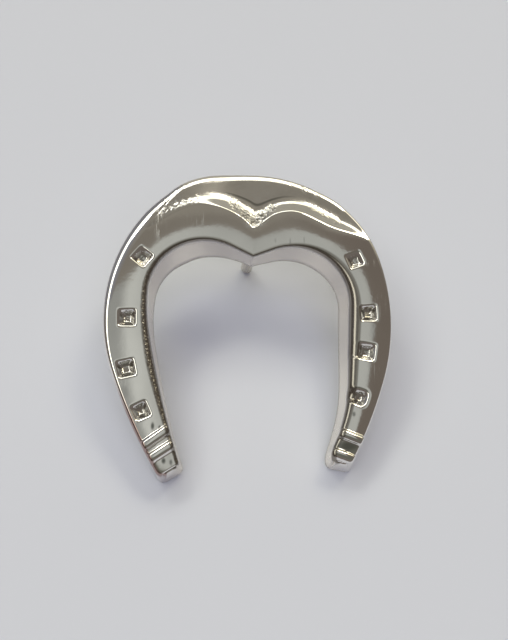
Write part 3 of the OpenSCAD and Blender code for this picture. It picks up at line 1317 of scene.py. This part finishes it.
@dataclass(frozen=True)
class Silver:
    """Polished silver with tarnished hollows, handling marks and cast grain, and with painted shade
    and reflections: a dark reflection on the inner shoulder, dark reflections on the left branch
    and between the right heel's bars, a reddish reflection low on the left and shade along the
    crescent's crease.
    """

    name: str

    # Colours
    base: Triple = (0.90, 0.88, 0.85)
    clouded: float = 0.95
    # Colour of the tarnished hollows, also used for the painted dark reflection on the inner
    # shoulder
    tarnish_and_dark_reflection: Triple = (0.20, 0.175, 0.145)
    # Colour of the stained marks, also of the painted crease shade and the painted dark reflections
    stain_and_shade: Triple = (0.14, 0.145, 0.13)
    # Colour of the painted reddish reflection
    painted_red_reflection: Triple = (0.34, 0.22, 0.20)
    wall: Triple = (0.88, 0.83, 0.745)

    # Noises, and the levels between which each of them counts
    cloud: Noise = Noise(260.0, 4.0)
    fine: Noise = Noise(2600.0)
    grain: Noise = Noise(5200.0, 4.0, 0.65)
    dents: Noise = Noise(4200.0, 2.0)
    lines: Noise = Noise(7000.0, 2.0)
    line_stretch: Triple = (1.0, 0.05, 0.05)
    clouds: Pair = (0.35, 0.7)
    bright_grains: Pair = (0.52, 0.66)
    dark_grains: Pair = (0.60, 0.40)
    line_levels: Pair = (0.53, 0.63)

    # How strongly the tarnished parts, the painted dark reflection on the shoulder, the painted
    # reddish reflection and the other colours show
    shoulder_tarnish_and_dark_reflection: float = 0.85
    recess_tarnish: float = 0.30
    crescent_tarnish: float = 0.30
    grain_shine: float = 0.7
    red_reflection_share: float = 0.85
    wall_dull: float = 0.35

    # Roughness
    rough: float = 0.045
    cloud_rough: float = 0.03
    shoulder_rough: float = 0.16
    wall_rough: float = 0.14
    crescent_rough: float = 0.16
    line_rough: float = 0.30

    # Height and strength of the bumps
    fine_rise: float = 0.6
    grain_rise: float = 0.05
    bump_strength: float = 0.05
    bump_height: float = 0.00004
    dent_strength: float = 0.9
    dent_height: float = 0.00030

    def material(self) -> bpy.types.Material:
        """Makes the finish.

        Returns:
            The node material.
        """
        made = bpy.data.materials.new(self.name)
        made.use_nodes = True
        n = Nodes(made.node_tree)
        where = n.add("ShaderNodeTexCoord").outputs["Object"]
        mask = {kind: n.add("ShaderNodeAttribute", attribute_name=kind.value).outputs["Fac"]
                for kind in Kind}
        cloud, grain = n.noise(where, self.cloud), n.noise(where, self.grain)
        shader = n.add(
            "ShaderNodeBsdfPrincipled",
            Base_Color=self.colour(n, mask, cloud, grain),
            Metallic=n.sum("SUBTRACT", 1.0, n.times(mask[Kind.WALL], self.wall_dull)),
            Roughness=self.roughness(n, mask, where, cloud, grain),
            Normal=self.normal(n, mask, where, grain),
        )
        n.add("ShaderNodeOutputMaterial", Surface=shader.outputs[0])
        return made

    def colour(self, n: Nodes, mask: Masks, cloud: Socket, grain: Socket) -> Socket:
        """Works out the metal's colour.

        Args:
            n: The material's nodes.
            mask: Strength of each kind of surface.
            cloud: The broad noise.
            grain: The cast grain.

        Returns:
            The output with the colour.
        """
        worn = n.times(mask[Kind.PITTED], n.between(grain, *self.bright_grains))
        # The shoulder's darkening is a painted dark reflection with some tarnishing; the nail holes
        # and the crescent are tarnished
        dark_share = n.times(mask[Kind.SHOULDER], self.shoulder_tarnish_and_dark_reflection)
        dark_share = n.most(dark_share, n.times(mask[Kind.RECESS], self.recess_tarnish))
        dark_share = n.most(dark_share, n.times(mask[Kind.CRESCENT], n.times(cloud, self.crescent_tarnish)))
        dark_share = n.sum("SUBTRACT", dark_share, n.times(worn, self.grain_shine), clamp=True)
        pits = n.times(mask[Kind.PITTED], n.between(grain, *self.dark_grains))
        tint = n.mix(n.between(cloud, *self.clouds), rgba(self.base), rgba(self.base, self.clouded))
        colour = n.mix(n.most(dark_share, pits), tint, rgba(self.tarnish_and_dark_reflection))
        # Paints the reddish reflection low on the left
        colour = n.mix(n.times(mask[Kind.PAINTED_RED_REFLECTION], self.red_reflection_share), colour, rgba(self.painted_red_reflection))
        colour = n.mix(mask[Kind.WALL], colour, rgba(self.wall))
        # Stained marks, painted crease shade and painted dark reflections
        return n.mix(mask[Kind.STAIN_AND_SHADE], colour, rgba(self.stain_and_shade))

    def roughness(self, n: Nodes, mask: Masks, where: Socket, cloud: Socket,
                  grain: Socket) -> Socket:
        """Works out the metal's roughness, with the scratches in it.

        Args:
            n: The material's nodes.
            mask: Strength of each kind of surface.
            where: The piece's own coordinates.
            cloud: The broad noise.
            grain: The cast grain.

        Returns:
            The output with the roughness.
        """
        rough = n.plus(self.rough, n.times(cloud, self.cloud_rough))
        rough = n.plus(rough, n.times(mask[Kind.SHOULDER], self.shoulder_rough))
        rough = n.plus(rough, n.times(mask[Kind.WALL], self.wall_rough))
        rough = n.plus(rough, n.times(mask[Kind.CRESCENT], n.times(grain, self.crescent_rough)))
        stretched = n.add("ShaderNodeVectorMath", operation="MULTIPLY")
        n.put(stretched.inputs[0], where)
        n.put(stretched.inputs[1], self.line_stretch)
        lines = n.between(n.noise(stretched.outputs[0], self.lines), *self.line_levels)
        return n.plus(rough, n.times(n.times(mask[Kind.SCRATCHED], lines), self.line_rough))

    def normal(self, n: Nodes, mask: Masks, where: Socket, grain: Socket) -> Socket:
        """Works out the fine unevenness of the metal, with the dents of its pits.

        Args:
            n: The material's nodes.
            mask: Strength of each kind of surface.
            where: The piece's own coordinates.
            grain: The cast grain.

        Returns:
            The output with the normal.
        """
        fine = n.times(n.noise(where, self.fine), self.fine_rise)
        bump = n.add("ShaderNodeBump", Strength=self.bump_strength, Distance=self.bump_height,
                     Height=n.plus(fine, n.times(grain, self.grain_rise)))
        pits = n.add("ShaderNodeBump", Strength=n.times(mask[Kind.PITTED], self.dent_strength),
                     Distance=self.dent_height, Height=n.noise(where, self.dents),
                     Normal=bump.outputs["Normal"])
        return pits.outputs["Normal"]


@dataclass(frozen=True)
class Paper:
    """The pale, matt floor."""

    name: str = "pale_floor"
    colour: Triple = (0.67, 0.69, 0.74)
    clouded: float = 0.985
    cloud: Noise = Noise(30.0)
    grain: Noise = Noise(4000.0)
    rough: float = 0.75
    bump_strength: float = 0.05
    bump_height: float = 0.00002

    def material(self) -> bpy.types.Material:
        """Makes the finish.

        Returns:
            The node material.
        """
        made = bpy.data.materials.new(self.name)
        made.use_nodes = True
        n = Nodes(made.node_tree)
        where = n.add("ShaderNodeTexCoord").outputs["Object"]
        tint = n.mix(n.noise(where, self.cloud), rgba(self.colour),
                     rgba(self.colour, self.clouded))
        bump = n.add("ShaderNodeBump", Strength=self.bump_strength, Distance=self.bump_height,
                     Height=n.noise(where, self.grain))
        shader = n.add("ShaderNodeBsdfPrincipled", Base_Color=tint, Roughness=self.rough,
                       Normal=bump.outputs["Normal"])
        n.add("ShaderNodeOutputMaterial", Surface=shader.outputs[0])
        return made


class Shade(Enum):
    """Radiance of the parts of the surroundings."""

    BLACK = (0.0, 0.0, 0.0)
    LIGHT = (0.98, 1.0, 0.94)
    DARK = (0.20, 0.182, 0.155)
    DUSK = (0.245, 0.227, 0.192)
    DARKER = (0.150, 0.128, 0.108)
    FRONT = (0.13, 0.13, 0.11)
    BLUISH = (0.215, 0.225, 0.26)
    TOE = (0.42, 0.40, 0.34)
    WINDOW = (2.7, 2.7, 2.4)
    WARM = (2.4, 2.2, 1.5)
    LOW = (0.16, 0.14, 0.125)
    SIDE = (0.20, 0.20, 0.215)


@dataclass(frozen=True)
class Surroundings:
    """The soft light from all round, told apart by the x, y and z of its direction.

    A pair of numbers says where a part of it begins and where it is full.
    """

    # The light field that the face reflects: its level along x, and its gain to the front
    levels: tuple[Pair, ...] = (
        (-0.09, 0.30), (-0.075, 0.36), (-0.06, 0.44), (-0.043, 0.52), (-0.01, 0.50),
        (0.03, 0.44), (0.10, 0.36), (0.16, 0.40), (0.215, 0.41), (0.232, 0.38), (0.25, 0.25),
    )
    near_y: Pair = (-0.05, -0.16)
    near_gain: float = 0.09

    # Its far edge, bent by a power of x, and its slanting right one
    far_edge: Pair = (0.0185, 0.0250)
    bend_start: float = -0.029
    bend_middle: float = 0.10
    bend_power: float = 4.0
    bend_gain: float = 200.0
    right_edge: Pair = (0.258, 0.263)
    right_slant: float = -0.11

    # The dark fields round it
    darker_x: Pair = (0.12, 0.25)
    dusk_y: Pair = (0.055, 0.085)
    bluish_x: Pair = (-0.10, -0.35)
    front_y: Pair = (-0.34, -0.44)

    # The low ring with its left and far parts, and the bright windows above it
    low_z: Pair = (0.74, 0.66)
    side_x: Pair = (-0.15, -0.45)
    side_y: Pair = (0.0, 0.35)
    toe_y: Pair = (0.40, 0.65)
    toe_x: Pair = (-0.45, -0.2)
    window_z: tuple[Pair, Pair] = ((0.68, 0.74), (0.90, 0.85))
    window_y: Pair = (0.15, 0.4)
    window_x: Pair = (-0.3, -0.5)
    warm_x: Pair = (0.0, 0.45)

    def build(self) -> None:
        """Makes the scene's world."""
        world = bpy.data.worlds.new("studio")
        bpy.context.scene.world = world
        world.use_nodes = True
        n = Nodes(world.node_tree)
        way = n.add("ShaderNodeTexCoord").outputs["Generated"]
        x, y, z = n.add("ShaderNodeSeparateXYZ", Vector=way).outputs
        colour = n.mix(n.between(z, *self.low_z), self.overhead(n, x, y), self.low(n, x, y))
        ring = n.times(n.between(z, *self.window_z[0]), n.between(z, *self.window_z[1]))
        left_top = n.most(n.between(y, *self.window_y), n.between(x, *self.window_x))
        window = n.mix(n.between(x, *self.warm_x), rgba(Shade.WINDOW.value), rgba(Shade.WARM.value))
        colour = n.mix(n.times(ring, left_top), colour, window)
        shader = n.add("ShaderNodeBackground", Color=colour, Strength=1.0)
        n.add("ShaderNodeOutputWorld", Surface=shader.outputs[0])

    def overhead(self, n: Nodes, x: Socket, y: Socket) -> Socket:
        """Works out the light and dark fields overhead.

        Args:
            n: The world's nodes.
            x: The direction's x.
            y: The direction's y.

        Returns:
            The output with the colour.
        """
        off = n.sum("SUBTRACT", n.most(x, self.bend_start), self.bend_middle)
        bend = n.sum("POWER", off, self.bend_power)
        away = n.between(n.sum("MULTIPLY_ADD", bend, self.bend_gain, y), *self.far_edge)
        right = n.between(n.sum("MULTIPLY_ADD", y, self.right_slant, x), *self.right_edge)
        near = n.sum("MULTIPLY_ADD", n.between(y, *self.near_y), self.near_gain, 1.0)
        level = n.times(n.ramp(x, self.levels), near)
        light = n.mix(level, rgba(Shade.BLACK.value), rgba(Shade.LIGHT.value))
        dark = rgba(Shade.DARK.value)
        for share, shade in ((n.between(x, *self.darker_x), Shade.DARKER),
                             (n.between(y, *self.dusk_y), Shade.DUSK),
                             (n.between(x, *self.bluish_x), Shade.BLUISH)):
            dark = n.mix(share, dark, rgba(shade.value))
        colour = n.mix(n.most(away, right), light, dark)
        return n.mix(n.between(y, *self.front_y), colour, rgba(Shade.FRONT.value))

    def low(self, n: Nodes, x: Socket, y: Socket) -> Socket:
        """Works out the ring low round the pin.

        Args:
            n: The world's nodes.
            x: The direction's x.
            y: The direction's y.

        Returns:
            The output with the colour.
        """
        side = n.times(n.between(x, *self.side_x), n.between(y, *self.side_y))
        low = n.mix(side, rgba(Shade.LOW.value), rgba(Shade.SIDE.value))
        toe = n.times(n.between(y, *self.toe_y), n.between(x, *self.toe_x))
        return n.mix(toe, low, rgba(Shade.TOE.value))


@dataclass(frozen=True)
class Lamp:
    """A soft round lamp, by the direction it shines from."""

    name: str
    direction: Triple
    power: float
    colour: Triple
    size: float = 0.13
    distance: float = 0.6
    reflected: bool = True

    def build(self) -> bpy.types.Object:
        """Makes the lamp, aimed at the pin.

        Returns:
            The lamp.
        """
        data = bpy.data.lights.new(self.name, "AREA")
        data.shape, data.size, data.energy, data.color = "DISK", self.size, self.power, self.colour
        lamp = bpy.data.objects.new(self.name, data)
        toward = Vector(self.direction).normalized()
        lamp.location = toward * self.distance
        lamp.visible_glossy = self.reflected
        lamp.rotation_euler = toward.to_track_quat("Z", "Y").to_euler()
        bpy.context.collection.objects.link(lamp)
        return lamp


@dataclass
class Studio:
    """Floor, surroundings, lamps and camera."""

    frame: PlateFrame = field(default_factory=PlateFrame)
    surroundings: Surroundings = field(default_factory=Surroundings)
    floor_half: float = 2.0
    floor_parts: int = 8

    # The camera's distance in mm, its turns off the plate's normal in degrees, and its lens
    distance: float = 66.0
    pitch: float = 16.0
    yaw: float = 4.5
    focal: float = 45.0
    sensor: float = 36.0
    clip: Pair = (0.002, 20.0)

    lamps: tuple[Lamp, ...] = (
        Lamp("lamp_left", (-0.42, 0.43, 1.0), 0.230, (1.0, 0.97, 0.88)),
        Lamp("lamp_right", (0.39, 0.36, 1.0), 0.295, (1.0, 0.95, 0.80)),
        Lamp("fill", (0.0, -0.6, 1.0), 3.82, (0.78, 0.785, 0.98), size=1.0, distance=1.0,
             reflected=False),
    )

    def floor(self) -> bpy.types.Object:
        """Makes the floor under the pin.

        Returns:
            The floor.
        """
        mesh = bmesh.new()
        bmesh.ops.create_grid(mesh, x_segments=self.floor_parts, y_segments=self.floor_parts,
                              size=self.floor_half)
        piece = finished(mesh, "floor")
        piece.data.materials.append(Paper().material())
        piece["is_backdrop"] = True
        return piece

    def camera(self) -> bpy.types.Object:
        """Makes the camera, at the photograph's angle.

        Returns:
            The camera.
        """
        data = bpy.data.cameras.new("camera")
        data.lens, data.sensor_width = self.focal, self.sensor
        data.clip_start, data.clip_end = self.clip
        pitch, yaw = math.radians(self.pitch), math.radians(self.yaw)
        back = Vector((-math.sin(yaw), -math.sin(pitch) * math.cos(yaw),
                       math.cos(pitch) * math.cos(yaw)))
        right = (-back).cross(Vector((0.0, 1.0, 0.0))).normalized()
        up = right.cross(-back)
        axes = [self.frame.direction(v) for v in (right, up, back)]
        place = self.frame.world(np.array(back * self.distance))
        rows = [[*(axis[k] for axis in axes), place[k]] for k in range(3)]
        camera = bpy.data.objects.new("camera", data)
        camera.matrix_world = Matrix([*rows, [0.0, 0.0, 0.0, 1.0]])
        bpy.context.collection.objects.link(camera)
        bpy.context.scene.camera = camera
        return camera

    def build(self) -> None:
        """Makes the whole studio."""
        self.floor()
        self.surroundings.build()
        for lamp in self.lamps:
            lamp.build()
        self.camera()
        bpy.context.scene.view_settings.view_transform = "Standard"


def plain(bounds: object) -> object:
    """Bounds as plain lists of numbers."""
    return json.loads(json.dumps(bounds, default=list))


def main() -> None:
    """Builds the looks round the frame, piece by piece."""
    logging.basicConfig(level=logging.INFO, format="%(name)s: %(message)s")
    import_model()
    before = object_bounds()
    finish = Silver("polished_silver").material()
    for piece in (Horseshoe().build(), Post().build()):
        piece.data.materials.append(finish)
        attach(piece, BODY)
        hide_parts(CAD_NODE)
        LOG.info("%s: %d faces", piece.name, len(piece.data.polygons))
    Studio().build()
    {"cad": plain(before), "looks": plain(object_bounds())}


if __name__ == "__main__":
    main()
